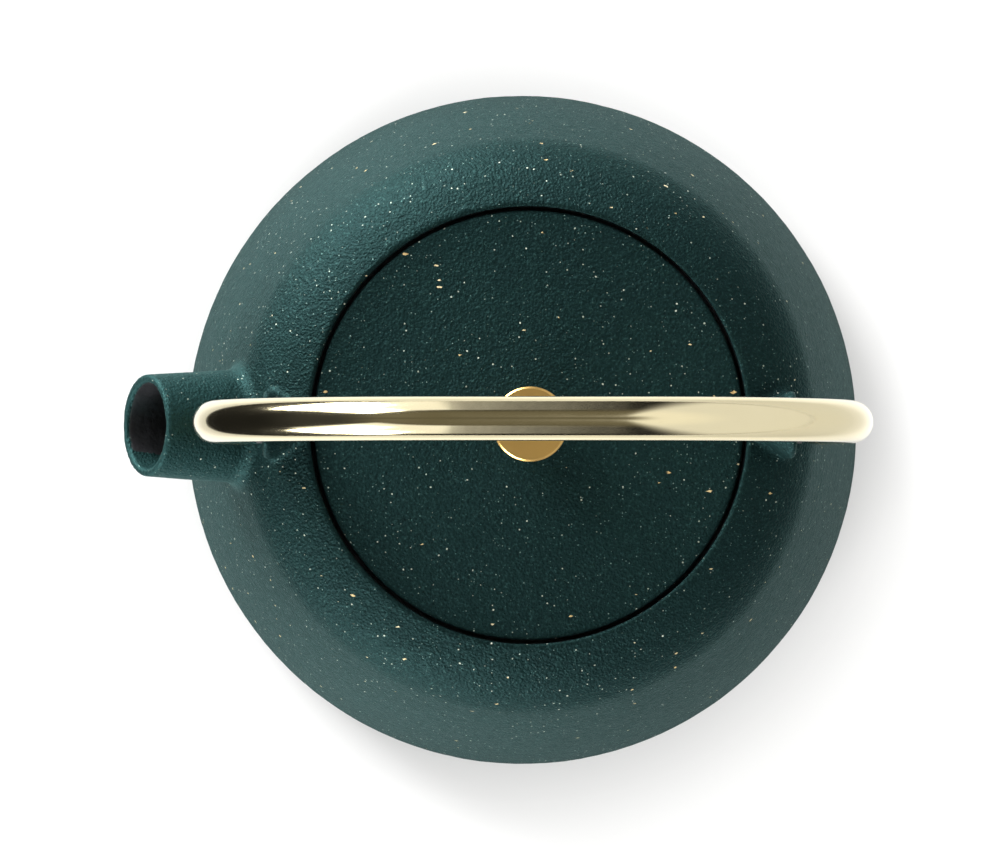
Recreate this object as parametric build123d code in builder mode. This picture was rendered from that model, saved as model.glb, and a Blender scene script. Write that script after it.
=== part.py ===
from build123d import *
import math
import os

# Cast iron teapot with an arched tube handle, an inset lid and a tea basket.
# Millimetres. +Z is up, the spout points to -X, the handle arches from -X to +X.
# Origin: on the pot's axis, on the plane that the foot ring rests on.

# ---- driving dimensions -------------------------------------------------------
BODY_R = 79.4  # widest radius, just above the base
BASE_ROUND = 8.0  # rounding between base and wall
FOOT_OUT, FOOT_IN, FOOT_H = 70.4, 62.4, 1.4
EDGE_R, EDGE_Z = 62.6, 76.0  # where wall and shoulder would meet
EDGE_FILLET = 21.0
WALL_LEAN = 9.5  # lean of the wall just above the base rounding, degrees
WALL_BOW = 1.25  # how far the wall bows outwards
SHOULDER_BOW = 0.8  # how far the shoulder bows upwards
LIP_R, LIP_Z = 49.05, 84.2  # inner end of the shoulder
LIP_ROUND = 0.55
MOUTH_R = 48.25  # bore that the lid drops into
SEAT_R, SEAT_Z = 41.2, 78.6  # ledge for the basket and lid
CEILING_Z = 74.2  # underside of the ledge
FLOOR_Z = 5.4

SPOUT_TILT = 30.4  # spout axis above horizontal, degrees
SPOUT_X, SPOUT_Z = -85.1, 76.2  # centre of the spout's mouth
SPOUT_R, SPOUT_R_ROOT, SPOUT_LEN = 11.4, 13.5, 34.0
SPOUT_BORE, SPOUT_BORE_ROOT = 9.5, 10.3
SPOUT_LIP = 0.75
SPOUT_BLEND = 3.5

PIVOT_Z = 89.5  # height of the handle's pivot line
LUG_X, LUG_R, LUG_DEPTH = 58.4, 8.4, 8.0  # outer face, half width, length inwards
LUG_END_R = 2.8
LUG_EDGE, LUG_TIP, LUG_BLEND = 1.0, 1.2, 1.5
TAP_R, TAP_DEPTH = 2.0, 6.4

TUBE_R, TUBE_T = 4.45, 1.2  # handle tube
LEG_X = 63.5  # centre of the handle's leg at the pivot line
ARCH_R, ARCH_CX, ARCH_TOP = 50.0, 17.25, 175.0  # corner bend of the arch
SPLIT = 7.5  # from pivot to the end of the tube, along the leg
SPIGOT = 5.0  # how far the end fitting reaches into the tube
END_BELOW = 5.2  # end fitting below the pivot
END_ROUND = 3.4

BORE_R, SHOULDER_R = 2.56, 2.5  # handle bore and pivot screw shoulder
WASHER_R, WASHER_T = 4.1, 1.3
FLAT_X, SPOT_X = 59.8, 67.1  # inner and outer spot faces of the end fittings
HEAD_X, HEAD_R, HEAD_H = 67.2, 3.8, 2.2

LID_R, LID_EDGE_Z, LID_UNDER_Z = 47.5, 83.7, 79.55
LID_TOP_Z, LID_BOSS_R = 87.2, 5.6
LID_T = 4.0
LID_ROUND = 0.9
SKIRT_OUT, SKIRT_IN, SKIRT_Z = 36.6, 33.8, 73.2
BOSS_R, BOSS_Z = 6.5, 82.2  # boss under the lid that the knob screw pulls on
KNOB_R, KNOB_Z0, KNOB_Z1 = 8.17, 94.6, 99.4
KNOB_FOOT_R, KNOB_NECK_R = 4.6, 3.3
SCREW_R = 1.9

RIM_R, RIM_Z0, RIM_Z1 = 46.5, 78.65, 79.45
COLLAR_T, COLLAR_Z = 0.7, 71.0
MESH_R, MESH_T = 37.9, 0.4
BASKET_Z, BAND_Z, BAND_T = 20.4, 27.0, 0.5

os.makedirs("parts", exist_ok=True)


def unit(ax, az):
    n = math.hypot(ax, az)
    return ax / n, az / n


def bowed(p, q, bow):
    """Point beside the middle of the chord p-q, bow to its left."""
    ux, uz = unit(q[0] - p[0], q[1] - p[1])
    return (p[0] + q[0]) / 2 - bow * uz, (p[1] + q[1]) / 2 + bow * ux


# ---- pot: one casting with spout and lugs -----------------------------------------
base_c = (BODY_R - BASE_ROUND, FOOT_H + BASE_ROUND)  # centre of the base rounding
lean = math.radians(WALL_LEAN)
wall_0 = (
    base_c[0] + BASE_ROUND * math.cos(lean),
    base_c[1] + BASE_ROUND * math.sin(lean),
)
base_m = (
    base_c[0] + BASE_ROUND * math.cos(math.radians(-40)),
    base_c[1] + BASE_ROUND * math.sin(math.radians(-40)),
)
edge = (EDGE_R, EDGE_Z)
lip = (LIP_R, LIP_Z)

tilt = math.radians(SPOUT_TILT)
mouth_plane = Plane(
    origin=(SPOUT_X, 0, SPOUT_Z),
    x_dir=(0, 1, 0),
    z_dir=(math.cos(tilt), 0, -math.sin(tilt)),
)


def spans(e, low, high):
    """True when five points along an edge all lie in the box low-high."""
    return all(
        low[0] < (e @ u).X < high[0]
        and low[1] < (e @ u).Y < high[1]
        and low[2] < (e @ u).Z < high[2]
        for u in (0.0, 0.2, 0.4, 0.6, 0.8, 1.0)
    )


with BuildPart() as pot_body:
    # outer form: foot ring, rounded base, slightly bowed wall, rounded shoulder
    with BuildSketch(Plane.YZ):
        with BuildLine():
            Polyline(
                (0, LIP_Z),
                (0, FOOT_H),
                (FOOT_IN - 0.8, FOOT_H),
                (FOOT_IN, 0),
                (FOOT_OUT, 0),
                (FOOT_OUT + 0.7, FOOT_H),
                (base_c[0], FOOT_H),
            )
            ThreePointArc((base_c[0], FOOT_H), base_m, wall_0)
            ThreePointArc(wall_0, bowed(edge, wall_0, WALL_BOW), edge)
            ThreePointArc(edge, bowed(lip, edge, SHOULDER_BOW), lip)
            Line(lip, (0, LIP_Z))
        make_face()
    revolve(axis=Axis.Z)
    fillet(
        pot_body.edges()
        .filter_by(GeomType.CIRCLE)
        .filter_by(lambda e: abs(e.radius - EDGE_R) < 0.01),
        radius=EDGE_FILLET,
    )
    # spout: a straight cone from its mouth down into the wall
    with BuildSketch(mouth_plane):
        Circle(SPOUT_R)
    with BuildSketch(mouth_plane.offset(SPOUT_LEN)):
        Circle(SPOUT_R_ROOT)
    loft()
    fillet(
        pot_body.edges()
        .filter_by(GeomType.BSPLINE)
        .filter_by(lambda e: spans(e, (-72, -14, 52), (-59.3, 14, 79))),
        radius=SPOUT_BLEND,
    )
    # lugs: a flat outer face that tapers towards the lid like half a cone
    for side in (1, -1):
        face_plane = Plane(
            origin=(side * LUG_X, 0, PIVOT_Z), x_dir=(0, side, 0), z_dir=(-side, 0, 0)
        )
        down = -1 if face_plane.y_dir.Z > 0 else 1  # local Y towards the pot
        for depth, r, drop in ((0, LUG_R, 13.6), (LUG_DEPTH, LUG_END_R, 9.5)):
            with BuildSketch(face_plane.offset(depth)):
                with BuildLine():
                    ThreePointArc((-r, 0), (0, -down * r), (r, 0))
                    Polyline((r, 0), (r, down * drop), (-r, down * drop), (-r, 0))
                make_face()
        loft()
        tip_x = LUG_X - LUG_DEPTH
        fillet(
            pot_body.edges().filter_by(
                lambda e: all(abs((e @ u).X * side - LUG_X) < 0.02 for u in (0, 0.5, 1))
                and (e @ 0.5).Z > 80
            ),
            radius=LUG_EDGE,
        )
        fillet(
            pot_body.edges().filter_by(
                lambda e: all(abs((e @ u).X * side - tip_x) < 0.02 for u in (0, 0.5, 1))
                and (e @ 0.5).Z > 84.6
            ),
            radius=LUG_TIP,
        )
        x_low, x_high = sorted((side * (tip_x - 0.6), side * (LUG_X + 0.05)))
        fillet(
            pot_body.edges().filter_by(
                lambda e: spans(e, (x_low, -9, 77.4), (x_high, 9, 84.3))
            ),
            radius=LUG_BLEND,
        )
    # hollow: floor, wall, ceiling under the shoulder, seat and mouth
    with BuildSketch(Plane.YZ):
        with BuildLine():
            Line((0, LIP_Z + 20), (0, FLOOR_Z))
            Line((0, FLOOR_Z), (69.5, FLOOR_Z))
            ThreePointArc((69.5, FLOOR_Z), (73.7, FLOOR_Z + 1.8), (75.3, 11.2))
            ThreePointArc((75.3, 11.2), (69.3, 41.5), (61.0, 70.0))
            ThreePointArc((61.0, 70.0), (59.7, 72.1), (57.2, 73.0))
            Polyline(
                (57.2, 73.0),
                (SEAT_R + 0.8, CEILING_Z),
                (SEAT_R, CEILING_Z + 0.8),
                (SEAT_R, SEAT_Z),
                (MOUTH_R, SEAT_Z),
                (MOUTH_R, LIP_Z + 20),
                (0, LIP_Z + 20),
            )
        make_face()
    revolve(axis=Axis.Z, mode=Mode.SUBTRACT)
    fillet(
        pot_body.edges()
        .filter_by(GeomType.CIRCLE)
        .filter_by(
            lambda e: abs(e.radius - MOUTH_R) < 0.01
            and abs((e @ 0.5).Z - LIP_Z) < 0.01
        ),
        radius=LIP_ROUND,
    )
    # spout bore, from the mouth through the wall
    with BuildSketch(mouth_plane.offset(-1)):
        Circle(SPOUT_BORE)
    with BuildSketch(mouth_plane.offset(SPOUT_LEN + 3)):
        Circle(SPOUT_BORE_ROOT)
    loft(mode=Mode.SUBTRACT)
    fillet(
        pot_body.edges().filter_by(
            lambda e: all(
                abs(mouth_plane.to_local_coords(e @ u).Z) < 0.02 for u in (0, 0.3, 0.6)
            )
            and spans(e, (-100, -14, 50), (-70, 14, 100))
        ),
        radius=SPOUT_LIP,
    )
    # blind holes for the pivot screws, from each lug's outer face inwards
    for side in (1, -1):
        with BuildSketch(
            Plane(origin=(side * LUG_X, 0, PIVOT_Z), z_dir=(-side, 0, 0))
        ):
            Circle(TAP_R)
        extrude(amount=TAP_DEPTH, mode=Mode.SUBTRACT)

pot_body.part.label = "pot_body"
export_step(pot_body.part, "parts/pot_body.step")


# ---- lid and its knob -------------------------------------------------------------
lid_slope = (LID_TOP_Z - LID_EDGE_Z) / (LID_R - LID_BOSS_R)


def lid_under(r):
    return LID_EDGE_Z - LID_T + lid_slope * (LID_R - r)


with BuildPart() as lid:
    with BuildSketch(Plane.YZ):
        with BuildLine():
            Polyline(
                (SCREW_R + 0.3, LID_TOP_Z),
                (LID_BOSS_R, LID_TOP_Z),
                (LID_R, LID_EDGE_Z),
                (LID_R, LID_UNDER_Z),
                (SKIRT_OUT, LID_UNDER_Z),
                (SKIRT_OUT, SKIRT_Z),
                (SKIRT_IN, SKIRT_Z),
                (SKIRT_IN, lid_under(SKIRT_IN)),
                (BOSS_R, lid_under(BOSS_R)),
                (BOSS_R, BOSS_Z),
                (SCREW_R + 0.3, BOSS_Z),
                close=True,
            )
        make_face()
    revolve(axis=Axis.Z)
    fillet(
        lid.edges()
        .filter_by(GeomType.CIRCLE)
        .filter_by(
            lambda e: abs(e.radius - LID_R) < 0.01
            and abs((e @ 0.5).Z - LID_EDGE_Z) < 0.01
        ),
        radius=LID_ROUND,
    )
    chamfer(
        lid.edges()
        .filter_by(GeomType.CIRCLE)
        .filter_by(lambda e: abs((e @ 0.5).Z - SKIRT_Z) < 0.01),
        length=0.5,
    )
    fillet(
        lid.edges()
        .filter_by(GeomType.CIRCLE)
        .filter_by(
            lambda e: abs(e.radius - SKIRT_IN) < 0.01
            and abs((e @ 0.5).Z - lid_under(SKIRT_IN)) < 0.01
        ),
        radius=1.5,
    )
lid.part.label = "lid"
export_step(lid.part, "parts/lid.step")

with BuildPart() as lid_knob:
    with BuildSketch(Plane.YZ):
        with BuildLine():
            Polyline(
                (0, LID_TOP_Z),
                (KNOB_FOOT_R, LID_TOP_Z),
                (KNOB_FOOT_R, LID_TOP_Z + 0.6),
            )
            ThreePointArc(
                (KNOB_FOOT_R, LID_TOP_Z + 0.6),
                (KNOB_NECK_R + 0.25, LID_TOP_Z + 1.6),
                (KNOB_NECK_R, LID_TOP_Z + 3.2),
            )
            ThreePointArc(
                (KNOB_NECK_R, LID_TOP_Z + 3.2),
                (KNOB_NECK_R + 0.9, KNOB_Z0 - 1.5),
                (KNOB_R - 1.4, KNOB_Z0),
            )
            Polyline(
                (KNOB_R - 1.4, KNOB_Z0),
                (KNOB_R - 0.4, KNOB_Z0),
                (KNOB_R, KNOB_Z0 + 0.4),
                (KNOB_R, KNOB_Z1 - 0.5),
                (KNOB_R - 0.5, KNOB_Z1),
                (0, KNOB_Z1),
                (0, LID_TOP_Z),
            )
        make_face()
    revolve(axis=Axis.Z)
    with BuildSketch(Plane.XY.offset(LID_TOP_Z)):
        Circle(SCREW_R + 0.05)
    extrude(amount=7.6, mode=Mode.SUBTRACT)
lid_knob.part.label = "lid_knob"
export_step(lid_knob.part, "parts/lid_knob.step")

with BuildPart() as knob_washer:
    with BuildSketch(Plane.XY.offset(BOSS_Z - 0.8)):
        Circle(4.6)
        Circle(SCREW_R + 0.2, mode=Mode.SUBTRACT)
    extrude(amount=0.8)
knob_washer.part.label = "knob_washer"
export_step(knob_washer.part, "parts/knob_washer.step")

with BuildPart() as knob_screw:
    with BuildSketch(Plane.XY.offset(BOSS_Z - 0.8 - 2.2)):
        Circle(3.6)
    extrude(amount=2.2)
    fillet(knob_screw.edges().group_by(Axis.Z)[0], radius=1.2)
    with BuildSketch(Plane.XY.offset(BOSS_Z - 0.8)):
        Circle(SCREW_R)
    extrude(amount=12.6)
    chamfer(knob_screw.edges().group_by(Axis.Z)[-1], length=0.5)
    # cross recess
    with BuildSketch(Plane.XY.offset(BOSS_Z - 0.8 - 2.2)):
        Rectangle(3.6, 0.8)
        Rectangle(0.8, 3.6)
    extrude(amount=1.2, mode=Mode.SUBTRACT)
knob_screw.part.label = "knob_screw"
export_step(knob_screw.part, "parts/knob_screw.step")


# ---- handle: bent tube with an end fitting in each leg -----------------------------
# Each leg is a straight line from the pivot, tangent to the corner bend.
arch_cz = ARCH_TOP - ARCH_R
to_pivot = (LEG_X - ARCH_CX, PIVOT_Z - arch_cz)
reach = math.hypot(*to_pivot)
touch = math.atan2(to_pivot[1], to_pivot[0]) + math.acos(ARCH_R / reach)
leg = (-math.sin(touch), math.cos(touch))  # direction up the leg, leaning outwards
corner_x = LEG_X + leg[0] / leg[1] * (ARCH_TOP - PIVOT_Z)


def along(side, d):
    return side * (LEG_X + leg[0] * d), PIVOT_Z + leg[1] * d


with BuildPart() as handle_tube:
    with BuildLine(Plane.XZ) as arch:
        FilletPolyline(
            along(1, SPLIT),
            (corner_x, ARCH_TOP),
            (-corner_x, ARCH_TOP),
            along(-1, SPLIT),
            radius=ARCH_R,
        )
    start = along(1, SPLIT)
    with BuildSketch(
        Plane(origin=(start[0], 0, start[1]), z_dir=(leg[0], 0, leg[1]))
    ):
        Circle(TUBE_R)
        Circle(TUBE_R - TUBE_T, mode=Mode.SUBTRACT)
    sweep(path=arch.wires()[0])
handle_tube.part.label = "handle_tube"
export_step(handle_tube.part, "parts/handle_tube.step")
print("handle tube: leg leans", round(math.degrees(math.asin(leg[0])), 2), "degrees")
print("handle tube: centre line", round(arch.wires()[0].length, 1), "mm")


def end_fitting(name, side):
    """End of one leg: rounded bar with a spigot, a bore and two spot faces."""
    pivot = Plane(
        origin=(side * LEG_X, 0, PIVOT_Z), x_dir=(0, 1, 0), z_dir=(side * leg[0], 0, leg[1])
    )
    with BuildPart() as fitting:
        with BuildSketch(pivot.offset(-END_BELOW)):
            Circle(TUBE_R)
        extrude(amount=END_BELOW + SPLIT)
        fillet(
            fitting.edges()
            .filter_by(GeomType.CIRCLE)
            .filter_by(lambda e: e.arc_center.Z < PIVOT_Z - 2),
            radius=END_ROUND,
        )
        with BuildSketch(pivot.offset(SPLIT)):
            Circle(TUBE_R - TUBE_T)
        extrude(amount=SPIGOT)
        chamfer(fitting.edges().group_by(Axis.Z)[-1], length=0.4)
        # spot faces square to the pivot, and the bore through both
        with BuildSketch(
            Plane(origin=(side * FLAT_X, 0, PIVOT_Z), z_dir=(-side, 0, 0))
        ):
            Circle(WASHER_R + 0.4)
        extrude(amount=8, mode=Mode.SUBTRACT)
        with BuildSketch(
            Plane(origin=(side * SPOT_X, 0, PIVOT_Z), z_dir=(side, 0, 0))
        ):
            Circle(HEAD_R + 0.3)
        extrude(amount=8, mode=Mode.SUBTRACT)
        with BuildSketch(
            Plane(origin=(side * (FLAT_X - 2), 0, PIVOT_Z), z_dir=(side, 0, 0))
        ):
            Circle(BORE_R)
        extrude(amount=12, mode=Mode.SUBTRACT)
    fitting.part.label = name
    export_step(fitting.part, f"parts/{name}.step")


end_fitting("handle_end_front", -1)
end_fitting("handle_end_rear", 1)


def pivot_screw(name, side):
    """Shoulder screw: thread in the lug, shoulder through the handle, domed head."""
    with BuildPart() as screw:
        with BuildSketch(
            Plane(origin=(side * LUG_X, 0, PIVOT_Z), z_dir=(side, 0, 0))
        ):
            Circle(SHOULDER_R)
        extrude(amount=HEAD_X - LUG_X)
        with BuildSketch(
            Plane(origin=(side * LUG_X, 0, PIVOT_Z), z_dir=(-side, 0, 0))
        ):
            Circle(TAP_R - 0.05)
        extrude(amount=TAP_DEPTH - 0.6)
        with BuildSketch(
            Plane(origin=(side * HEAD_X, 0, PIVOT_Z), z_dir=(side, 0, 0))
        ):
            Circle(HEAD_R)
        extrude(amount=HEAD_H)
        fillet(
            screw.edges()
            .filter_by(GeomType.CIRCLE)
            .filter_by(lambda e: abs((e @ 0.5).X * side - HEAD_X - HEAD_H) < 0.01),
            radius=1.5,
        )
        with BuildSketch(
            Plane(origin=(side * (HEAD_X + HEAD_H), 0, PIVOT_Z), z_dir=(-side, 0, 0))
        ):
            RegularPolygon(1.45, 6)
        extrude(amount=1.4, mode=Mode.SUBTRACT)
    screw.part.label = name
    export_step(screw.part, f"parts/{name}.step")


pivot_screw("pivot_screw_front", -1)
pivot_screw("pivot_screw_rear", 1)


def pivot_washer(name, side):
    with BuildPart() as washer:
        with BuildSketch(
            Plane(origin=(side * LUG_X, 0, PIVOT_Z), z_dir=(side, 0, 0))
        ):
            Circle(WASHER_R)
            Circle(SHOULDER_R + 0.05, mode=Mode.SUBTRACT)
        extrude(amount=WASHER_T)
    washer.part.label = name
    export_step(washer.part, f"parts/{name}.step")


pivot_washer("pivot_washer_front", -1)
pivot_washer("pivot_washer_rear", 1)


# ---- tea basket -------------------------------------------------------------------
with BuildPart() as infuser_rim:
    with BuildSketch(Plane.YZ):
        with BuildLine():
            Polyline(
                (MESH_R, RIM_Z1),
                (MESH_R, COLLAR_Z),
                (MESH_R + COLLAR_T, COLLAR_Z),
                (MESH_R + COLLAR_T, RIM_Z0),
                (RIM_R, RIM_Z0),
                (RIM_R, RIM_Z1),
                close=True,
            )
        make_face()
    revolve(axis=Axis.Z)
    fillet(
        infuser_rim.edges()
        .filter_by(GeomType.CIRCLE)
        .filter_by(lambda e: abs(e.radius - RIM_R) < 0.01),
        radius=0.35,
    )
infuser_rim.part.label = "infuser_rim"
export_step(infuser_rim.part, "parts/infuser_rim.step")

with BuildPart() as infuser_mesh_wall:
    with BuildSketch(Plane.XY.offset(BASKET_Z + BAND_T)):
        Circle(MESH_R)
        Circle(MESH_R - MESH_T, mode=Mode.SUBTRACT)
    extrude(amount=RIM_Z0 - 0.6 - BASKET_Z - BAND_T)
infuser_mesh_wall.part.label = "infuser_mesh_wall"
export_step(infuser_mesh_wall.part, "parts/infuser_mesh_wall.step")

with BuildPart() as infuser_mesh_floor:
    with BuildSketch(Plane.XY.offset(BASKET_Z + BAND_T)):
        Circle(MESH_R - MESH_T)
    extrude(amount=MESH_T)
infuser_mesh_floor.part.label = "infuser_mesh_floor"
export_step(infuser_mesh_floor.part, "parts/infuser_mesh_floor.step")

with BuildPart() as infuser_base_band:
    with BuildSketch(Plane.YZ):
        with BuildLine():
            Polyline(
                (MESH_R, BAND_Z),
                (MESH_R, BASKET_Z + BAND_T),
                (MESH_R - 3.4, BASKET_Z + BAND_T),
                (MESH_R - 3.4, BASKET_Z),
                (MESH_R + BAND_T, BASKET_Z),
                (MESH_R + BAND_T, BAND_Z),
                close=True,
            )
        make_face()
    revolve(axis=Axis.Z)
    fillet(
        infuser_base_band.edges()
        .filter_by(GeomType.CIRCLE)
        .filter_by(
            lambda e: abs(e.radius - MESH_R - BAND_T) < 0.01
            and abs((e @ 0.5).Z - BASKET_Z) < 0.01
        ),
        radius=0.45,
    )
infuser_base_band.part.label = "infuser_base_band"
export_step(infuser_base_band.part, "parts/infuser_base_band.step")
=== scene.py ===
import math

import bmesh
import bpy
import numpy as np
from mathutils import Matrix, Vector


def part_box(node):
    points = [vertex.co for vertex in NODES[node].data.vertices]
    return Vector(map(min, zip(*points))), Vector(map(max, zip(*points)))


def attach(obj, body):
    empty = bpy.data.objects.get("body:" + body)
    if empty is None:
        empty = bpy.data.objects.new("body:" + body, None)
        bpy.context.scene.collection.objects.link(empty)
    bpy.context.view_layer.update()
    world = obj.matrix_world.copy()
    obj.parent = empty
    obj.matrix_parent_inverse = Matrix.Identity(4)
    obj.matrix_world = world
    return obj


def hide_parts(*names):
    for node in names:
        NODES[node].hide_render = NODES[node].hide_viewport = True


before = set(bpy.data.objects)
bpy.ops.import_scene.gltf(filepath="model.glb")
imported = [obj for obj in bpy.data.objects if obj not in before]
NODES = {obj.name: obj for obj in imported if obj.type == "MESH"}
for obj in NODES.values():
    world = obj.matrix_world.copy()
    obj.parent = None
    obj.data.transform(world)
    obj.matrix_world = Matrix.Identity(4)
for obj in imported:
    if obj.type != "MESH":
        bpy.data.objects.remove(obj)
scene = bpy.context.scene
bpy.context.view_layer.update()
MM = 0.001

# Sizes that the solids have, in millimetres, and that no node's box gives.
PIVOT_Z = 89.5
SPOUT_MOUTH = np.array([-85.1, 0.0, 76.2])
SPOUT_TILT = math.radians(30.4)
SPOUT_BORE, SPOUT_BORE_ROOT, SPOUT_LEN = 9.5, 10.3, 34.0
TUBE_R, TUBE_T = 4.45, 1.2
LEG_X, ARCH_R, ARCH_CX, ARCH_TOP, SPLIT = 63.5, 50.0, 17.25, 175.0, 7.5


# ---- small tools -----------------------------------------------------------------
def link(ob):
    scene.collection.objects.link(ob)
    return ob


def mesh_object(name, verts, faces, smooth=True):
    me = bpy.data.meshes.new(name)
    me.from_pydata([tuple(v) for v in verts], [], [tuple(f) for f in faces])
    me.validate()
    me.polygons.foreach_set("use_smooth", [smooth] * len(me.polygons))
    me.update()
    return link(bpy.data.objects.new(name, me))


def coords(me):
    co = np.empty(len(me.vertices) * 3, np.float32)
    me.vertices.foreach_get("co", co)
    return co.reshape(-1, 3).astype(float)


def set_coords(me, co):
    me.vertices.foreach_set("co", co.astype(np.float32).ravel())
    me.update()


def normals(me):
    n = np.empty(len(me.vertices) * 3, np.float32)
    me.vertex_normals.foreach_get("vector", n)
    return n.reshape(-1, 3).astype(float)


def hash3(ix, iy, iz, seed):
    h = (
        ix.astype(np.int64) * 374761393
        + iy.astype(np.int64) * 668265263
        + iz.astype(np.int64) * 2147483647
        + seed * 974634777
    ) & 0xFFFFFFFF
    h = ((h ^ (h >> 13)) * 1274126177) & 0xFFFFFFFF
    h = ((h ^ (h >> 16)) * 2246822519) & 0xFFFFFFFF
    return ((h ^ (h >> 15)) & 0xFFFFFF) / float(0xFFFFFF) * 2 - 1


def noise3(p, size, seed):
    """Smooth value noise from -1 to 1 with bumps of about size, at points p."""
    q = p / size
    i = np.floor(q)
    f = q - i
    f = f * f * f * (f * (f * 6 - 15) + 10)
    i = i.astype(np.int64)
    total = np.zeros(len(p))
    for dx in (0, 1):
        for dy in (0, 1):
            for dz in (0, 1):
                w = (
                    (f[:, 0] if dx else 1 - f[:, 0])
                    * (f[:, 1] if dy else 1 - f[:, 1])
                    * (f[:, 2] if dz else 1 - f[:, 2])
                )
                total += w * hash3(i[:, 0] + dx, i[:, 1] + dy, i[:, 2] + dz, seed)
    return total


def fbm(p, size, seed, octaves=3, gain=0.5):
    out, amp, norm = np.zeros(len(p)), 1.0, 0.0
    for k in range(octaves):
        out += amp * noise3(p + 17.3 * k, size / 2**k, seed + 31 * k)
        norm += amp
        amp *= gain
    return out / norm


def smoothstep(lo, hi, x):
    t = np.clip((x - lo) / (hi - lo), 0, 1)
    return t * t * (3 - 2 * t)


def rounded(profile, closed=False, steps=6):
    """Profile points (r, z, radius): each corner is rounded to its radius. Returns (r, z) points."""
    pts = [np.array(p[:2], float) for p in profile]
    rad = [p[2] if len(p) > 2 else 0.0 for p in profile]
    n, out = len(pts), []
    for i in range(n):
        p = pts[i]
        if rad[i] <= 0 or (not closed and i in (0, n - 1)):
            out.append(p)
            continue
        a, b = pts[i - 1] - p, pts[(i + 1) % n] - p
        la, lb = np.linalg.norm(a), np.linalg.norm(b)
        a, b = a / la, b / lb
        half = math.acos(max(-1, min(1, float(a @ b)))) / 2
        d = min(rad[i] / math.tan(half), la * 0.499, lb * 0.499)
        r = d * math.tan(half)
        c = p + (a + b) / np.linalg.norm(a + b) * (r / math.sin(half))
        s, e = p + a * d - c, p + b * d - c
        a0, a1 = math.atan2(s[1], s[0]), math.atan2(e[1], e[0])
        da = (a1 - a0 + math.pi) % (2 * math.pi) - math.pi
        for k in range(steps + 1):
            t = a0 + da * k / steps
            out.append(c + r * np.array([math.cos(t), math.sin(t)]))
    return np.array(out)


def refine(pts, step, closed=False):
    """Adds points so that no run is longer than step."""
    out, n = [], len(pts)
    for i in range(n if closed else n - 1):
        a, b = pts[i], pts[(i + 1) % n]
        k = max(1, math.ceil(np.linalg.norm(b - a) / step))
        out += [a + (b - a) * j / k for j in range(k)]
    if not closed:
        out.append(pts[-1])
    return np.array(out)


def lathe(name, profile, segments, closed=True):
    """Turns a profile of (r, z) in millimetres about the Z axis. Points with r 0 become one vertex."""
    verts, rings = [], []
    for r, z in profile:
        if r < 1e-6:
            rings.append([len(verts)])
            verts.append((0, 0, z * MM))
            continue
        rings.append(list(range(len(verts), len(verts) + segments)))
        for k in range(segments):
            t = 2 * math.pi * k / segments
            verts.append((r * math.cos(t) * MM, r * math.sin(t) * MM, z * MM))
    faces = []
    pairs = list(zip(rings, rings[1:]))
    if closed:
        pairs.append((rings[-1], rings[0]))
    for a, b in pairs:
        if len(a) == 1 and len(b) == 1:
            continue
        for k in range(segments):
            j = (k + 1) % segments
            if len(a) == 1:
                faces.append((a[0], b[j], b[k]))
            elif len(b) == 1:
                faces.append((a[k], a[j], b[0]))
            else:
                faces.append((a[k], a[j], b[j], b[k]))
    ob = mesh_object(name, verts, faces)
    outward(ob)
    return ob


def outward(ob):
    bm = bmesh.new()
    bm.from_mesh(ob.data)
    bmesh.ops.recalc_face_normals(bm, faces=bm.faces)
    bm.to_mesh(ob.data)
    bm.free()


def sharpen(ob, degrees=35):
    ob.data.set_sharp_from_angle(angle=math.radians(degrees))


def casting(name, node, voxel_mm, share=1.0):
    """A fine, even mesh of a CAD node's own surface, for a cast part's skin."""
    src = NODES[node]
    tmp = link(bpy.data.objects.new(name + "_tmp", src.data.copy()))
    m = tmp.modifiers.new("remesh", "REMESH")
    m.mode, m.voxel_size, m.use_smooth_shade = "VOXEL", voxel_mm * MM, True
    w = tmp.modifiers.new("wrap", "SHRINKWRAP")
    w.target, w.wrap_method = src, "NEAREST_SURFACEPOINT"
    if share < 1:
        d = tmp.modifiers.new("thin", "DECIMATE")
        d.ratio = share
    bpy.context.view_layer.update()
    dg = bpy.context.evaluated_depsgraph_get()
    me = bpy.data.meshes.new_from_object(tmp.evaluated_get(dg))
    me.name = name
    bpy.data.objects.remove(tmp)
    me.materials.clear()
    for a in [a.name for a in me.attributes if a.name.startswith("custom")]:
        me.attributes.remove(me.attributes[a])
    me.polygons.foreach_set("use_smooth", [True] * len(me.polygons))
    return link(bpy.data.objects.new(name, me))


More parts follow.
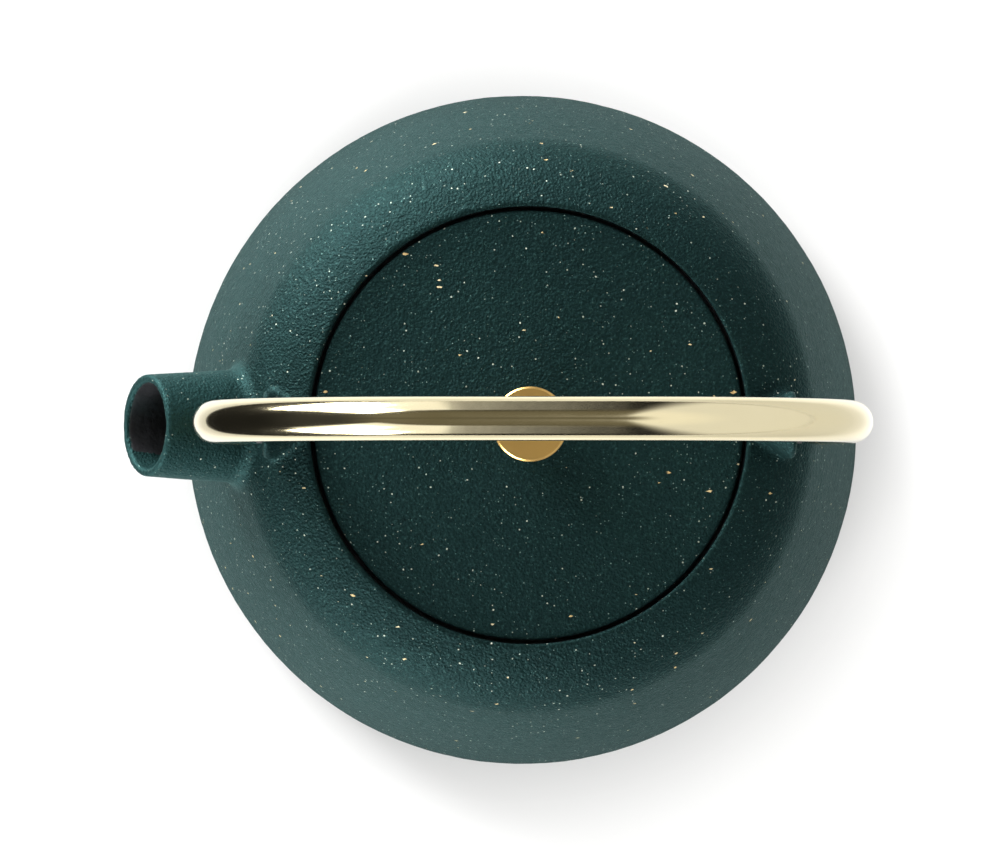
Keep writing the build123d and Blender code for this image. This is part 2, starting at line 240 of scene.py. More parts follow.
# ---- node helpers -----------------------------------------------------------------
class Mat:
    """A node material under construction."""

    def __init__(self, name):
        self.m = bpy.data.materials.new(name)
        self.m.use_nodes = True
        self.t = self.m.node_tree
        self.bsdf = self.t.nodes["Principled BSDF"]
        self.coord = self.t.nodes.new("ShaderNodeTexCoord").outputs["Object"]

    def new(self, kind, **props):
        n = self.t.nodes.new(kind)
        for k, v in props.items():
            setattr(n, k, v)
        return n

    def put(self, socket, value):
        if isinstance(value, bpy.types.NodeSocket):
            self.t.links.new(value, socket)
        elif isinstance(value, (tuple, list)) and len(value) == 3 and len(socket.default_value) == 4:
            socket.default_value = (*value, 1.0)
        else:
            socket.default_value = value

    def math(self, op, a, b=0.0, c=0.0, clamp=False):
        n = self.new("ShaderNodeMath", operation=op, use_clamp=clamp)
        for s, v in zip(n.inputs, (a, b, c)):
            self.put(s, v)
        return n.outputs[0]

    def mix(self, f, a, b):
        n = self.new("ShaderNodeMix", data_type="RGBA")
        self.put(n.inputs[0], f)
        self.put(n.inputs[6], a)
        self.put(n.inputs[7], b)
        return n.outputs[2]

    def lerp(self, f, a, b):
        n = self.new("ShaderNodeMix", data_type="FLOAT")
        self.put(n.inputs[0], f)
        self.put(n.inputs[2], a)
        self.put(n.inputs[3], b)
        return n.outputs[0]

    def step(self, lo, hi, x, out_lo=0.0, out_hi=1.0):
        n = self.new("ShaderNodeMapRange", interpolation_type="SMOOTHSTEP")
        for s, v in zip(n.inputs[:5], (x, lo, hi, out_lo, out_hi)):
            self.put(s, v)
        return n.outputs[0]

    def noise(self, size_mm, detail=2.0, rough=0.5, vector=None, distortion=0.0):
        n = self.new("ShaderNodeTexNoise")
        self.put(n.inputs["Vector"], self.coord if vector is None else vector)
        n.inputs["Scale"].default_value = 1.0 / (size_mm * MM)
        n.inputs["Detail"].default_value = detail
        n.inputs["Roughness"].default_value = rough
        n.inputs["Distortion"].default_value = distortion
        return n.outputs["Fac"]

    def wobble(self, size_mm, amount_mm, vector=None):
        """Coordinates pushed about by noise."""
        base = self.coord if vector is None else vector
        n = self.new("ShaderNodeTexNoise")
        self.put(n.inputs["Vector"], base)
        n.inputs["Scale"].default_value = 1.0 / (size_mm * MM)
        n.inputs["Detail"].default_value = 2.0
        sub = self.new("ShaderNodeVectorMath", operation="SUBTRACT")
        self.put(sub.inputs[0], n.outputs["Color"])
        sub.inputs[1].default_value = (0.5, 0.5, 0.5)
        mul = self.new("ShaderNodeVectorMath", operation="SCALE")
        self.put(mul.inputs[0], sub.outputs[0])
        mul.inputs["Scale"].default_value = 2 * amount_mm * MM
        add = self.new("ShaderNodeVectorMath", operation="ADD")
        self.put(add.inputs[0], base)
        self.put(add.inputs[1], mul.outputs[0])
        return add.outputs[0]

    def stretched(self, turn, scale, vector):
        """Coordinates turned by the angles and scaled, so that round cells come out long."""
        n = self.new("ShaderNodeMapping")
        self.put(n.inputs["Vector"], vector)
        n.inputs["Rotation"].default_value = turn
        n.inputs["Scale"].default_value = scale
        return n.outputs[0]

    def voronoi(self, cell_mm, vector=None, feature="F1", metric="EUCLIDEAN", randomness=1.0):
        n = self.new("ShaderNodeTexVoronoi", feature=feature, distance=metric)
        self.put(n.inputs["Vector"], self.coord if vector is None else vector)
        n.inputs["Scale"].default_value = 1.0 / (cell_mm * MM)
        n.inputs["Randomness"].default_value = randomness
        return n

    def specks(self, cell_mm, r_lo, r_hi, share, vector, metric="EUCLIDEAN"):
        """Scattered flecks: share of the cells hold one, of a radius between r_lo and r_hi in millimetres. Returns mask and two random numbers."""
        v = self.voronoi(cell_mm, vector, metric=metric)
        sep = self.new("ShaderNodeSeparateColor")
        self.put(sep.inputs[0], v.outputs["Color"])
        size = self.math("MULTIPLY_ADD", sep.outputs[1], (r_hi - r_lo) / cell_mm, r_lo / cell_mm)
        d = self.math("DIVIDE", v.outputs["Distance"], size)
        inside = self.step(1.15, 0.85, d)
        on = self.math("GREATER_THAN", sep.outputs[0], 1 - share)
        return self.math("MULTIPLY", inside, on), sep.outputs[2], sep.outputs[1]

    def bump(self, height, distance_mm, strength=1.0, normal=None):
        n = self.new("ShaderNodeBump")
        n.inputs["Strength"].default_value = strength
        n.inputs["Distance"].default_value = distance_mm * MM
        self.put(n.inputs["Height"], height)
        if normal is not None:
            self.put(n.inputs["Normal"], normal)
        return n.outputs[0]

    def attribute(self, name):
        return self.new("ShaderNodeAttribute", attribute_name=name).outputs["Fac"]

    def set(self, **values):
        for k, v in values.items():
            self.put(self.bsdf.inputs[k.replace("_", " ")], v)


def coat_material(name, enamel=False):
    """Teal-green coat on cast iron: cast grain, tiny pale flecks and larger gold ones."""
    m = Mat(name)
    far = m.noise(34, 2)
    mid = m.noise(5.5, 3)
    fine = m.noise(0.62, 3, 0.65)
    body = m.mix(m.step(0.3, 0.7, far), (0.0044, 0.0156, 0.0157), (0.0055, 0.0186, 0.0184))
    body = m.mix(m.step(0.35, 0.75, mid), body, (0.0050, 0.0164, 0.0168))
    body = m.mix(m.step(0.52, 0.74, fine, 0, 0.75), body, (0.020, 0.052, 0.049))
    body = m.mix(m.step(0.47, 0.26, fine, 0, 0.80), body, (0.0022, 0.0070, 0.0070))

    # painted light: the coat is made paler on the spout, standing in for the light that falls on it there
    place = m.new("ShaderNodeSeparateXYZ")
    m.put(place.inputs[0], m.coord)
    px, py, pz = place.outputs
    off = m.math("MULTIPLY_ADD", pz, 0.8625, m.math("MULTIPLY_ADD", px, 0.506, 0.506 * 0.0851 - 0.8625 * 0.0762))
    off = m.math("SQRT", m.math("MULTIPLY_ADD", off, off, m.math("MULTIPLY", py, py)))  # distance from the spout's axis
    spout = m.math("MULTIPLY", m.step(-0.058, -0.070, px), m.step(0.0165, 0.0132, off))
    body = m.mix(m.math("MULTIPLY", spout, 0.85), body, (0.0125, 0.0390, 0.0385))
    body = m.mix(m.math("MULTIPLY", spout, m.step(0.47, 0.26, fine, 0, 0.70)), body, (0.0030, 0.0090, 0.0090))

    # flecks: fine pale dust, small pale grains, and longer gold flakes lying two ways
    odd = m.wobble(0.8, 0.16)
    slant = m.stretched((0.72, 0.72, 0.40), (0.42, 1.0, 0.75), m.wobble(1.1, 0.30))
    slant2 = m.stretched((0.20, -0.30, -0.75), (0.45, 1.0, 0.80), m.wobble(1.3, 0.34))
    dust, dust_a, dust_b = m.specks(0.80, 0.06, 0.15, 0.45, odd)
    small, small_a, small_b = m.specks(1.50, 0.10, 0.21, 0.50, odd)
    flake, flake_a, flake_b = m.specks(2.4, 0.09, 0.20, 0.20, slant, "CHEBYCHEV")
    large, large_a, large_b = m.specks(4.1, 0.13, 0.28, 0.12, slant2, "CHEBYCHEV")
    pore, _, _ = m.specks(2.6, 0.10, 0.24, 0.09, odd)

    pale = m.mix(dust_a, (0.045, 0.115, 0.105), (0.22, 0.31, 0.28))
    grain_c = m.mix(small_a, (0.50, 0.53, 0.45), (0.30, 0.36, 0.30))
    gold = m.mix(flake_a, (0.60, 0.43, 0.19), (0.66, 0.60, 0.42))
    tan = m.mix(large_a, (0.56, 0.38, 0.16), (0.62, 0.52, 0.32))
    col = m.mix(m.math("MULTIPLY", dust, 0.7), body, pale)
    col = m.mix(m.math("MULTIPLY", small, m.math("MULTIPLY_ADD", small_b, 0.75, 0.2)), col, grain_c)
    col = m.mix(m.math("MULTIPLY", flake, 0.92), col, gold)
    col = m.mix(m.math("MULTIPLY", large, 0.92), col, tan)
    col = m.mix(m.math("MULTIPLY", pore, 0.8), col, (0.0015, 0.004, 0.004))
    specks = m.math("MAXIMUM", m.math("MAXIMUM", small, flake), large)

    grain = m.voronoi(0.62, m.wobble(1.3, 0.35), feature="SMOOTH_F1")
    grain.inputs["Smoothness"].default_value = 0.6
    h = m.math("MULTIPLY", grain.outputs["Distance"], 0.55)
    h = m.math("ADD", h, m.math("MULTIPLY", fine, 0.75))
    h = m.math("ADD", h, m.math("MULTIPLY", m.noise(2.1, 2), 0.55))
    h = m.math("SUBTRACT", h, m.math("MULTIPLY", pore, 0.8))
    normal = m.bump(h, 0.30)
    rough = m.lerp(m.noise(1.6, 2), 0.48, 0.66)
    rough = m.lerp(specks, rough, 0.36)
    metal = m.lerp(specks, 0.65, 0.10)
    m.bsdf.inputs["IOR"].default_value = 1.22
    m.bsdf.inputs["Specular Tint"].default_value = (0.64, 0.88, 0.86, 1.0)
    if not enamel:
        m.set(Base_Color=col, Metallic=metal, Roughness=rough, Normal=normal)
        return m.m
    # glossy black enamel inside; the boundary is a slightly uneven sprayed edge
    inside = m.attribute("inside")
    edge = m.math("ADD", inside, m.math("MULTIPLY", m.math("SUBTRACT", m.noise(1.4, 3), 0.5), 0.55))
    mask = m.step(-0.10, 0.10, edge)
    dark = m.mix(m.noise(3.0, 3), (0.0085, 0.0085, 0.0100), (0.0170, 0.0170, 0.0195))
    slick = m.math("ADD", m.math("MULTIPLY", m.noise(2.6, 2), 0.7), m.math("MULTIPLY", m.noise(0.8, 2), 0.22))
    slick_n = m.bump(slick, 0.28)
    nmix = m.new("ShaderNodeMix", data_type="VECTOR")
    m.put(nmix.inputs[0], mask)
    m.put(nmix.inputs[4], normal)
    m.put(nmix.inputs[5], slick_n)
    m.set(
        Base_Color=m.mix(mask, col, dark),
        Metallic=m.lerp(mask, metal, 0.0),
        Roughness=m.lerp(mask, rough, m.lerp(m.noise(4, 2), 0.34, 0.46)),
        Normal=nmix.outputs[1],
        Coat_Weight=mask,
        Coat_Normal=slick_n,
    )
    m.bsdf.inputs["Coat Roughness"].default_value = 0.30
    m.bsdf.inputs["Coat IOR"].default_value = 2.3
    return m.m


def brass_polished(name):
    m = Mat(name)
    stretch = m.new("ShaderNodeVectorMath", operation="MULTIPLY")
    m.put(stretch.inputs[0], m.coord)
    stretch.inputs[1].default_value = (0.06, 1.0, 0.06)
    lines = m.noise(0.30, 3, 0.6, stretch.outputs[0])
    cloud = m.noise(9, 3)
    fine = m.noise(1.4, 3)
    col = m.mix(cloud, (0.82, 0.735, 0.49), (0.79, 0.70, 0.455))
    col = m.mix(m.step(0.66, 0.85, fine, 0, 0.25), col, (0.66, 0.55, 0.32))
    rough = m.lerp(cloud, 0.085, 0.14)
    rough = m.math("ADD", rough, m.step(0.60, 0.85, lines, 0, 0.07))
    h = m.math("ADD", m.math("MULTIPLY", lines, 0.25), m.math("MULTIPLY", m.noise(6, 2), 2.0))
    m.set(Base_Color=col, Roughness=rough, Normal=m.bump(h, 0.004))
    m.bsdf.inputs["Metallic"].default_value = 1.0
    return m.m


def brass_satin(name, turned=True):
    m = Mat(name)
    sep = m.new("ShaderNodeSeparateXYZ")
    m.put(sep.inputs[0], m.coord)
    r = m.math("SQRT", m.math("ADD", m.math("MULTIPLY", sep.outputs[0], sep.outputs[0]), m.math("MULTIPLY", sep.outputs[1], sep.outputs[1])))
    ring = m.new("ShaderNodeCombineXYZ")
    m.put(ring.inputs[0], r)
    m.put(ring.inputs[1], sep.outputs[2])
    lines = m.noise(0.22, 3, 0.65, ring.outputs[0]) if turned else m.noise(0.25, 3)
    cloud = m.noise(4, 3)
    col = m.mix(cloud, (0.58, 0.375, 0.125), (0.54, 0.345, 0.112))
    col = m.mix(m.step(0.55, 0.80, lines, 0, 0.25), col, (0.62, 0.37, 0.11))
    rough = m.math("ADD", m.lerp(cloud, 0.30, 0.38), m.step(0.5, 0.8, lines, 0, 0.06))
    m.set(Base_Color=col, Roughness=rough, Normal=m.bump(m.math("ADD", lines, m.noise(0.5, 2)), 0.006))
    m.bsdf.inputs["Metallic"].default_value = 1.0
    return m.m


def steel(name, base=(0.56, 0.56, 0.55), rough=(0.22, 0.34), brushed=True):
    m = Mat(name)
    sep = m.new("ShaderNodeSeparateXYZ")
    m.put(sep.inputs[0], m.coord)
    band = m.new("ShaderNodeCombineXYZ")
    m.put(band.inputs[0], m.math("MULTIPLY", sep.outputs[0], 0.03))
    m.put(band.inputs[1], m.math("MULTIPLY", sep.outputs[1], 0.03))
    m.put(band.inputs[2], sep.outputs[2])
    lines = m.noise(0.25, 3, 0.6, band.outputs[0]) if brushed else m.noise(0.5, 3)
    cloud = m.noise(6, 3)
    low = tuple(c * 0.86 for c in base)
    col = m.mix(cloud, base, low)
    col = m.mix(m.step(0.55, 0.8, lines, 0, 0.3), col, tuple(c * 0.7 for c in base))
    m.set(
        Base_Color=col,
        Roughness=m.math("ADD", m.lerp(cloud, *rough), m.step(0.5, 0.8, lines, 0, 0.08)),
        Normal=m.bump(lines, 0.006),
    )
    m.bsdf.inputs["Metallic"].default_value = 1.0
    return m.m


def nylon(name):
    m = Mat(name)
    fine = m.noise(0.5, 3)
    col = m.mix(fine, (0.012, 0.012, 0.013), (0.028, 0.028, 0.030))
    m.set(Base_Color=col, Roughness=m.lerp(m.noise(1.5, 2), 0.45, 0.6), Normal=m.bump(fine, 0.01))
    return m.m


M_POT = coat_material("coat_pot", enamel=True)
M_LID = coat_material("coat_lid")
M_BRASS = brass_polished("brass_polished")
M_SATIN = brass_satin("brass_satin")
M_SCREW = brass_satin("brass_screw", turned=False)
M_STEEL = steel("steel_screw")
M_STAINLESS = steel("stainless_band", (0.60, 0.60, 0.59), (0.20, 0.30))
M_WIRE = steel("stainless_wire", (0.58, 0.58, 0.57), (0.24, 0.36), brushed=False)
M_NYLON = nylon("nylon_black")


# ---- pot casting --------------------------------------------------------------------
pot = casting("pot_casting", "pot_body", 0.75)
co = coords(pot.data) / MM
nor = normals(pot.data)
rad = np.hypot(co[:, 0], co[:, 1])

# how far a point is inside the enamelled space, in millimetres: cavity, mouth and spout bore
cavity = np.array(
    [
        (0, 5.4), (69.5, 5.4), (73.7, 7.2), (75.3, 11.2), (74.6, 20), (73.2, 30), (69.3, 41.5),
        (66.6, 52), (64.0, 61.5), (61.0, 70.0), (59.7, 72.1), (57.2, 73.0), (42.0, 74.2),
        (41.2, 75.0), (41.2, 78.6), (48.2, 78.6), (48.2, 82.4), (0, 82.4),
    ]
)


def inside_profile(r, z, poly, grow):
    """Signed distance to a closed profile, positive inside, grown by grow."""
    p = np.stack([r, z], 1)
    best = np.full(len(p), 1e9)
    wind = np.zeros(len(p), bool)
    for a, b in zip(poly, np.roll(poly, -1, 0)):
        d = b - a
        t = np.clip(((p - a) @ d) / (d @ d), 0, 1)
        best = np.minimum(best, np.linalg.norm(p - a - t[:, None] * d, axis=1))
        cross = (a[1] > p[:, 1]) != (b[1] > p[:, 1])
        with np.errstate(divide="ignore", invalid="ignore"):
            x = (b[0] - a[0]) * (p[:, 1] - a[1]) / (b[1] - a[1]) + a[0]
        wind ^= cross & (p[:, 0] < x)
    return np.where(wind, best, -best) + grow


axis_in = np.array([math.cos(SPOUT_TILT), 0, -math.sin(SPOUT_TILT)])
rel = co - SPOUT_MOUTH
depth = rel @ axis_in
off = rel - depth[:, None] * axis_in
from_axis = np.linalg.norm(off, axis=1)
side = off[:, 1] / np.maximum(from_axis, 1e-6)
bore = SPOUT_BORE + (SPOUT_BORE_ROOT - SPOUT_BORE) * np.clip(depth / SPOUT_LEN, 0, 1)
coat_depth = 1.0 + 13.0 * smoothstep(0.56, 0.78, -side)
in_spout = np.minimum(bore + 0.5 - from_axis, depth - coat_depth)
in_spout = np.where((depth < SPOUT_LEN + 8) & (depth > -2), in_spout, -5)
in_body = inside_profile(rad, co[:, 2], cavity, 0.45)
inside = np.clip(np.maximum(in_spout, in_body), -5, 5)
a = pot.data.attributes.new("inside", "FLOAT", "POINT")
a.data.foreach_set("value", inside.astype(np.float32))


def cast_skin(p, n, seed, amount=1.0):
    """Height of a sand-cast skin in millimetres: slow waves and soft grains, never above 0."""
    slow = fbm(p, 11.0, seed, 2) * 0.055
    soft = fbm(p, 3.2, seed + 7, 2) * 0.030
    h = slow + soft
    return amount * np.clip(h - 0.075, -0.30, 0.0)


calm = 1 - 0.75 * smoothstep(-0.5, 0.5, inside)  # the enamel is smoother than the coat
foot = smoothstep(0.0, 3.0, co[:, 2])
drop = cast_skin(co, nor, 5) * calm * foot
set_coords(pot.data, (co + nor * drop[:, None]) * MM)
pot.data.materials.append(M_POT)
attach(pot, "pot")
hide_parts("pot_body")

# ---- lid casting ----------------------------------------------------------------------
lid = casting("lid_casting", "lid", 0.5)
lco = coords(lid.data) / MM
lno = normals(lid.data)
set_coords(lid.data, (lco + lno * (cast_skin(lco + 40.0, lno, 23))[:, None]) * MM)
lid.data.materials.append(M_LID)
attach(lid, "lid")
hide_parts("lid")

# ---- knob, turned --------------------------------------------------------------------
k_lo, k_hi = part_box("lid_knob")
k0, k1, kr = k_lo.z / MM, k_hi.z / MM, k_hi.x / MM
knob_profile = rounded(
    [
        (0, k1 - 0.03),
        (kr - 1.3, k1 - 0.01, 8.0),
        (kr - 0.40, k1, 0.25),
        (kr, k1 - 0.42, 0.30),
        (kr, k1 - 4.35, 0.30),
        (kr - 0.45, k1 - 4.78, 0.25),
        (kr - 1.4, k1 - 4.8, 0.9),
        (4.2, k0 + 5.9, 2.2),
        (3.3, k0 + 3.2, 2.6),
        (3.55, k0 + 1.6, 1.6),
        (4.6, k0 + 0.65, 0.35),
        (4.6, k0 + 0.0, 0.12),
        (1.95, k0 + 0.0),
        (1.95, k0 + 7.5),
        (0, k0 + 7.6),
    ],
    steps=8,
)
knob = lathe("knob_turned", refine(knob_profile, 0.5), 128, closed=False)
sharpen(knob, 40)
knob.data.materials.append(M_SATIN)
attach(knob, "lid")
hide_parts("lid_knob")

# ---- handle tube -----------------------------------------------------------------------
arch_cz = ARCH_TOP - ARCH_R
reach = math.hypot(LEG_X - ARCH_CX, PIVOT_Z - arch_cz)
touch = math.atan2(PIVOT_Z - arch_cz, LEG_X - ARCH_CX) + math.acos(ARCH_R / reach)
leg = np.array([-math.sin(touch), math.cos(touch)])
start = np.array([LEG_X, PIVOT_Z]) + leg * SPLIT
tangent = np.array([ARCH_CX + ARCH_R * math.cos(touch), arch_cz + ARCH_R * math.sin(touch)])
line = [start + (tangent - start) * k / 14 for k in range(15)]
arc_n = 56
for k in range(1, arc_n + 1):
    t = touch + (math.pi / 2 - touch) * k / arc_n
    line.append(np.array([ARCH_CX + ARCH_R * math.cos(t), arch_cz + ARCH_R * math.sin(t)]))
half_line = np.array(line)
top_run = [np.array([ARCH_CX * (1 - 2 * k / 12), ARCH_TOP]) for k in range(1, 12)]
mirror = half_line[::-1] * np.array([-1, 1])
path = np.vstack([half_line, top_run, mirror])
tan = np.gradient(path, axis=0)
tan /= np.linalg.norm(tan, axis=1)[:, None]
tan[0], tan[-1] = leg, np.array([leg[0], -leg[1]])
ROUND = 72
verts, faces = [], []


def ring(centre, tangent_xz, radius):
    nx, nz = -tangent_xz[1], tangent_xz[0]
    first = len(verts)
    for k in range(ROUND):
        t = 2 * math.pi * k / ROUND
        verts.append(
            (
                (centre[0] + nx * radius * math.cos(t)) * MM,
                radius * math.sin(t) * MM,
                (centre[1] + nz * radius * math.cos(t)) * MM,
            )
        )
    return first


rings = []
inner_r = TUBE_R - TUBE_T
t0, t1 = tan[0], tan[-1]
outer = [(path[0] + t0 * 0.0, t0, TUBE_R - 0.18), (path[0] + t0 * 0.06, t0, TUBE_R - 0.06), (path[0] + t0 * 0.2, t0, TUBE_R)]
outer += [(path[i], tan[i], TUBE_R) for i in range(1, len(path) - 1)]
outer += [(path[-1] - t1 * 0.2, t1, TUBE_R), (path[-1] - t1 * 0.06, t1, TUBE_R - 0.06), (path[-1], t1, TUBE_R - 0.18)]
inner = [(path[-1], t1, inner_r)] + [(path[i], tan[i], inner_r) for i in range(len(path) - 2, 0, -1)] + [(path[0], t0, inner_r)]
for c, t, r in outer + inner:
    rings.append(ring(c, t, r))
for a, b in zip(rings, rings[1:] + rings[:1]):
    for k in range(ROUND):
        j = (k + 1) % ROUND
        faces.append((a + k, a + j, b + j, b + k))
tube = mesh_object("handle_arch", verts, faces)
outward(tube)
sharpen(tube, 40)
tube.data.materials.append(M_BRASS)
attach(tube, "handle")
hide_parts("handle_tube")


# ---- woven basket ------------------------------------------------------------------------
def strand(verts, faces, pts, ups, radius, closed, sides=4):
    """One wire: a square-ish tube through pts, whose cross-sections are set by ups."""
    n = len(pts)
    tang = np.roll(pts, -1, 0) - np.roll(pts, 1, 0)
    if not closed:
        tang[0], tang[-1] = pts[1] - pts[0], pts[-1] - pts[-2]
    tang /= np.linalg.norm(tang, axis=1)[:, None]
    across = np.cross(tang, ups)
    across /= np.linalg.norm(across, axis=1)[:, None]
    up = np.cross(across, tang)
    first = len(verts)
    for i in range(n):
        for k in range(sides):
            t = 2 * math.pi * (k + 0.5) / sides
            verts.append(tuple((pts[i] + radius * (math.cos(t) * across[i] + math.sin(t) * up[i])) * MM))
    for i in range(n if closed else n - 1):
        a, b = first + i * sides, first + ((i + 1) % n) * sides
        for k in range(sides):
            j = (k + 1) % sides
            faces.append((a + k, a + j, b + j, b + k))
    if not closed:
        faces.append(tuple(first + k for k in range(sides))[::-1])
        faces.append(tuple(first + (n - 1) * sides + k for k in range(sides)))


w_lo, w_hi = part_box("infuser_mesh_wall")
f_lo, f_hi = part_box("infuser_mesh_floor")
wall_r = w_hi.x / MM - 0.2
wall_z0, wall_z1 = w_lo.z / MM, w_hi.z / MM
PITCH, WIRE = ((1.25, 0.15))
count = int(round(2 * math.pi * wall_r / PITCH / 2)) * 2
rows = int((wall_z1 - wall_z0) / PITCH)
verts, faces = [], []
for i in range(count):
    t = 2 * math.pi * i / count
    out = np.array([math.cos(t), math.sin(t), 0])
    pts = np.array(
        [out * (wall_r + (0.07 if (i + j) % 2 else -0.07)) + [0, 0, wall_z0 + (wall_z1 - wall_z0) * j / rows] for j in range(rows + 1)]
    )
    strand(verts, faces, pts, np.tile(out, (rows + 1, 1)), WIRE, False)
for j in range(1, rows):
    t = 2 * math.pi * np.arange(count) / count
    out = np.stack([np.cos(t), np.sin(t), np.zeros(count)], 1)
    sign = np.where((np.arange(count) + j) % 2, -0.07, 0.07)
    pts = out * (wall_r + sign)[:, None] + [0, 0, wall_z0 + (wall_z1 - wall_z0) * j / rows]
    strand(verts, faces, pts, out, WIRE, True)
mesh_wall = mesh_object("woven_wall", verts, faces)
mesh_wall.data.materials.append(M_WIRE)
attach(mesh_wall, "basket")
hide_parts("infuser_mesh_wall")

verts, faces = [], []
floor_r, floor_z = f_hi.x / MM, (f_lo.z + f_hi.z) / 2 / MM
lines = int(floor_r * 2 / PITCH)
xs = [(-floor_r + PITCH * 0.6) + PITCH * k for k in range(lines)]
for i, x in enumerate(xs):
    h = math.sqrt(max(0.0, (floor_r - 0.05) ** 2 - x * x))
    ys = [y for y in xs if abs(y) < h]
    if len(ys) < 2:
        continue
    js = [xs.index(y) for y in ys]
    for flip in (0, 1):
        run = [-h] + ys + [h]
        bend = [0.0] + [(0.07 if (i + j + flip) % 2 else -0.07) for j in js] + [0.0]
        pts = np.array([(x, y, floor_z + b) if not flip else (y, x, floor_z + b) for y, b in zip(run, bend)])
        strand(verts, faces, pts, np.tile([0.0, 0, 1.0], (len(pts), 1)), WIRE, False)
mesh_floor = mesh_object("woven_floor", verts, faces)
mesh_floor.data.materials.append(M_WIRE)
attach(mesh_floor, "basket")
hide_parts("infuser_mesh_floor")


# ---- carried-over CAD nodes --------------------------------------------------------------
for node, mat in {
    "handle_end_front": M_BRASS,
    "handle_end_rear": M_BRASS,
    "pivot_screw_front": M_SCREW,
    "pivot_screw_rear": M_SCREW,
    "pivot_washer_front": M_NYLON,
    "pivot_washer_rear": M_NYLON,
    "knob_screw": M_STEEL,
    "knob_washer": M_STEEL,
    "infuser_rim": M_STAINLESS,
    "infuser_base_band": M_STAINLESS,
}.items():
    NODES[node].material_slots[0].material = mat


# ---- floor -----------------------------------------------------------------------------------
x0, x1, g = -0.19, 1.60, 1.00  # a table top
floor = mesh_object("floor", [(x0, -g, 0), (x1, -g, 0), (x1, g, 0), (x0, g, 0)], [(0, 1, 2, 3)], False)
fm = Mat("floor_pale")
pale = fm.mix(fm.noise(90, 2), (0.52, 0.52, 0.52), (0.54, 0.54, 0.54))
reach = fm.new("ShaderNodeVectorMath", operation="LENGTH")
fm.put(reach.inputs[0], fm.coord)
reach = reach.outputs["Value"]
along = fm.new("ShaderNodeSeparateXYZ")
fm.put(along.inputs[0], fm.coord)
# painted light: the floor glows, weakly next to the pot and more strongly beyond 106 mm, lightening the pot's shadow;
# the glow fades further out and towards the far left and right
painted_floor_glow = fm.math("ADD", fm.step(0.076, 0.106, reach, 0.66, 1.16), fm.step(0.155, 0.42, reach, 0.0, -0.80))
painted_floor_glow = fm.math("ADD", painted_floor_glow, fm.step(-0.112, -0.175, along.outputs[0], 0.0, -0.95))
painted_floor_glow = fm.math("ADD", painted_floor_glow, fm.step(0.108, 0.200, along.outputs[0], 0.0, -0.75))
painted_floor_glow = fm.math("MAXIMUM", painted_floor_glow, 0.15)
fm.set(Base_Color=pale, Roughness=0.65, Emission_Color=pale, Emission_Strength=painted_floor_glow)
fm.bsdf.inputs["Specular IOR Level"].default_value = 0.2
floor.data.materials.append(fm.m)


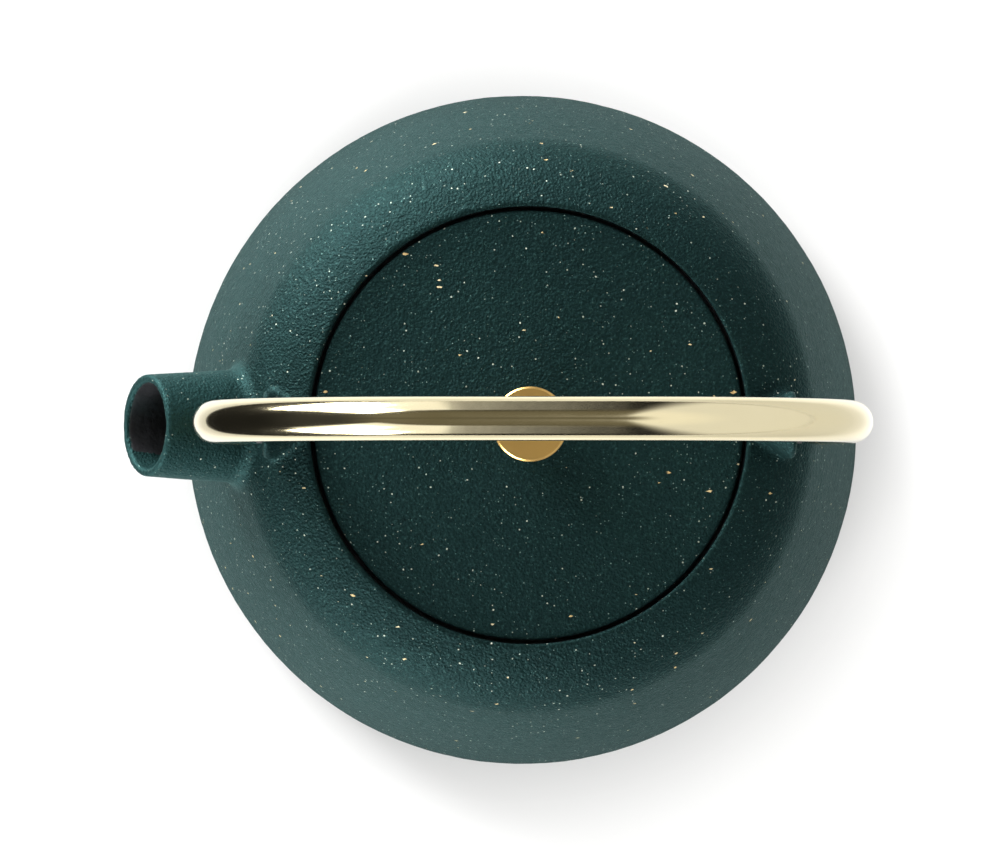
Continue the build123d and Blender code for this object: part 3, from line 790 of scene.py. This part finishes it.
# ---- light: a soft studio, seen only by reflections and as light ----------------------------------
class World:
    def __init__(self):
        w = bpy.data.worlds.new("studio")
        scene.world = w
        w.use_nodes = True
        self.t = w.node_tree
        self.t.nodes.clear()
        self.sep = self.t.nodes.new("ShaderNodeSeparateXYZ")
        self.t.links.new(self.t.nodes.new("ShaderNodeTexCoord").outputs["Generated"], self.sep.inputs[0])
        x, y, z = self.sep.outputs
        self.az = self.math("MULTIPLY", self.math("ARCTAN2", y, x), 180 / math.pi)
        self.el = self.math("MULTIPLY", self.math("ARCSINE", z), 180 / math.pi)
        self.total = None

    def math(self, op, a, b=0.0, c=0.0):
        n = self.t.nodes.new("ShaderNodeMath")
        n.operation = op
        for s, v in zip(n.inputs, (a, b, c)):
            if isinstance(v, bpy.types.NodeSocket):
                self.t.links.new(v, s)
            else:
                s.default_value = v
        return n.outputs[0]

    def ramp(self, x, lo, hi):
        n = self.t.nodes.new("ShaderNodeMapRange")
        n.interpolation_type = "SMOOTHSTEP"
        self.t.links.new(x, n.inputs[0])
        n.inputs[1].default_value, n.inputs[2].default_value = lo, hi
        return n.outputs[0]

    def patch(self, az, el, width, height, soft, strength, tint=(1, 1, 1)):
        """A soft-edged light area round azimuth az and elevation el, in degrees."""
        d = self.math("WRAP", self.math("SUBTRACT", self.az, az), 180.0, -180.0)
        d = self.math("ABSOLUTE", d)
        e = self.math("ABSOLUTE", self.math("SUBTRACT", self.el, el))
        a = self.math("SUBTRACT", 1.0, self.ramp(d, width / 2 - soft, width / 2 + soft))
        b = self.math("SUBTRACT", 1.0, self.ramp(e, height / 2 - soft, height / 2 + soft))
        self.add(self.math("MULTIPLY", a, b), strength, tint)

    def add(self, value, strength, tint=(1, 1, 1)):
        n = self.t.nodes.new("ShaderNodeVectorMath")
        n.operation = "SCALE"
        n.inputs[0].default_value = [strength * c for c in tint]
        if isinstance(value, bpy.types.NodeSocket):
            self.t.links.new(value, n.inputs["Scale"])
        else:
            n.inputs["Scale"].default_value = value
        if self.total is None:
            self.total = n.outputs[0]
            return
        s = self.t.nodes.new("ShaderNodeVectorMath")
        s.operation = "ADD"
        self.t.links.new(self.total, s.inputs[0])
        self.t.links.new(n.outputs[0], s.inputs[1])
        self.total = s.outputs[0]

    def done(self, seen):
        bg = self.t.nodes.new("ShaderNodeBackground")
        self.t.links.new(self.total, bg.inputs[0])
        plain = self.t.nodes.new("ShaderNodeBackground")
        plain.inputs[0].default_value = (*seen, 1)
        path = self.t.nodes.new("ShaderNodeLightPath")
        mixer = self.t.nodes.new("ShaderNodeMixShader")
        self.t.links.new(path.outputs["Is Camera Ray"], mixer.inputs[0])
        self.t.links.new(bg.outputs[0], mixer.inputs[1])
        self.t.links.new(plain.outputs[0], mixer.inputs[2])
        out = self.t.nodes.new("ShaderNodeOutputWorld")
        self.t.links.new(mixer.outputs[0], out.inputs[0])


world = World()
world.add(1.0, 0.014)
world.patch(0, 72, 360, 44, 14, 0.15, (1.0, 0.90, 0.60))  # dim ceiling
world.patch(180, 40, 90, 60, 14, 0.03)
world.patch(118, 18, 55, 56, 3, 1.20)        # softbox, back left
world.patch(126, 3, 32, 22, 3, 50.0)         # its brightest part, low
world.patch(131, 33, 24, 24, 4, 14.5)        # its middle
world.patch(-118, 27, 55, 48, 3, 1.20)       # softbox, front left
world.patch(-121, 5, 30, 18, 4, 38.0)        # its brightest part
world.patch(-129, 28, 22, 20, 4, 3.2)
world.patch(0, 35, 146, 88, 8, 0.93)         # white reflector, right
world.done((1.0, 1.0, 1.0))

# ---- camera ---------------------------------------------------------------------------------------
cam_data = bpy.data.cameras.new("camera")
cam = link(bpy.data.objects.new("camera", cam_data))
cam_data.sensor_width = 36.0
cam_data.lens = 4384 / 1000 * 36.0
cam.location = (-0.0198, -0.0141, 1.050)
look = Vector((61 / 4384, 58 / 4384, -1.0)).normalized()
up = Vector((0, 1, 0))
right = look.cross(up).normalized()
up = right.cross(look)
from mathutils import Matrix

rot = Matrix((right, up, -look)).transposed()
cam.rotation_mode = "QUATERNION"
cam.rotation_quaternion = rot.to_quaternion()
cam_data.clip_start, cam_data.clip_end = 0.05, 60
scene.camera = cam

scene.view_settings.view_transform = "Standard"
scene.view_settings.look = "None"
scene.view_settings.exposure = 0.0
scene.view_settings.gamma = 1.0
scene.cycles.use_denoising = True
scene.cycles.max_bounces = 8

bpy.context.view_layer.update()
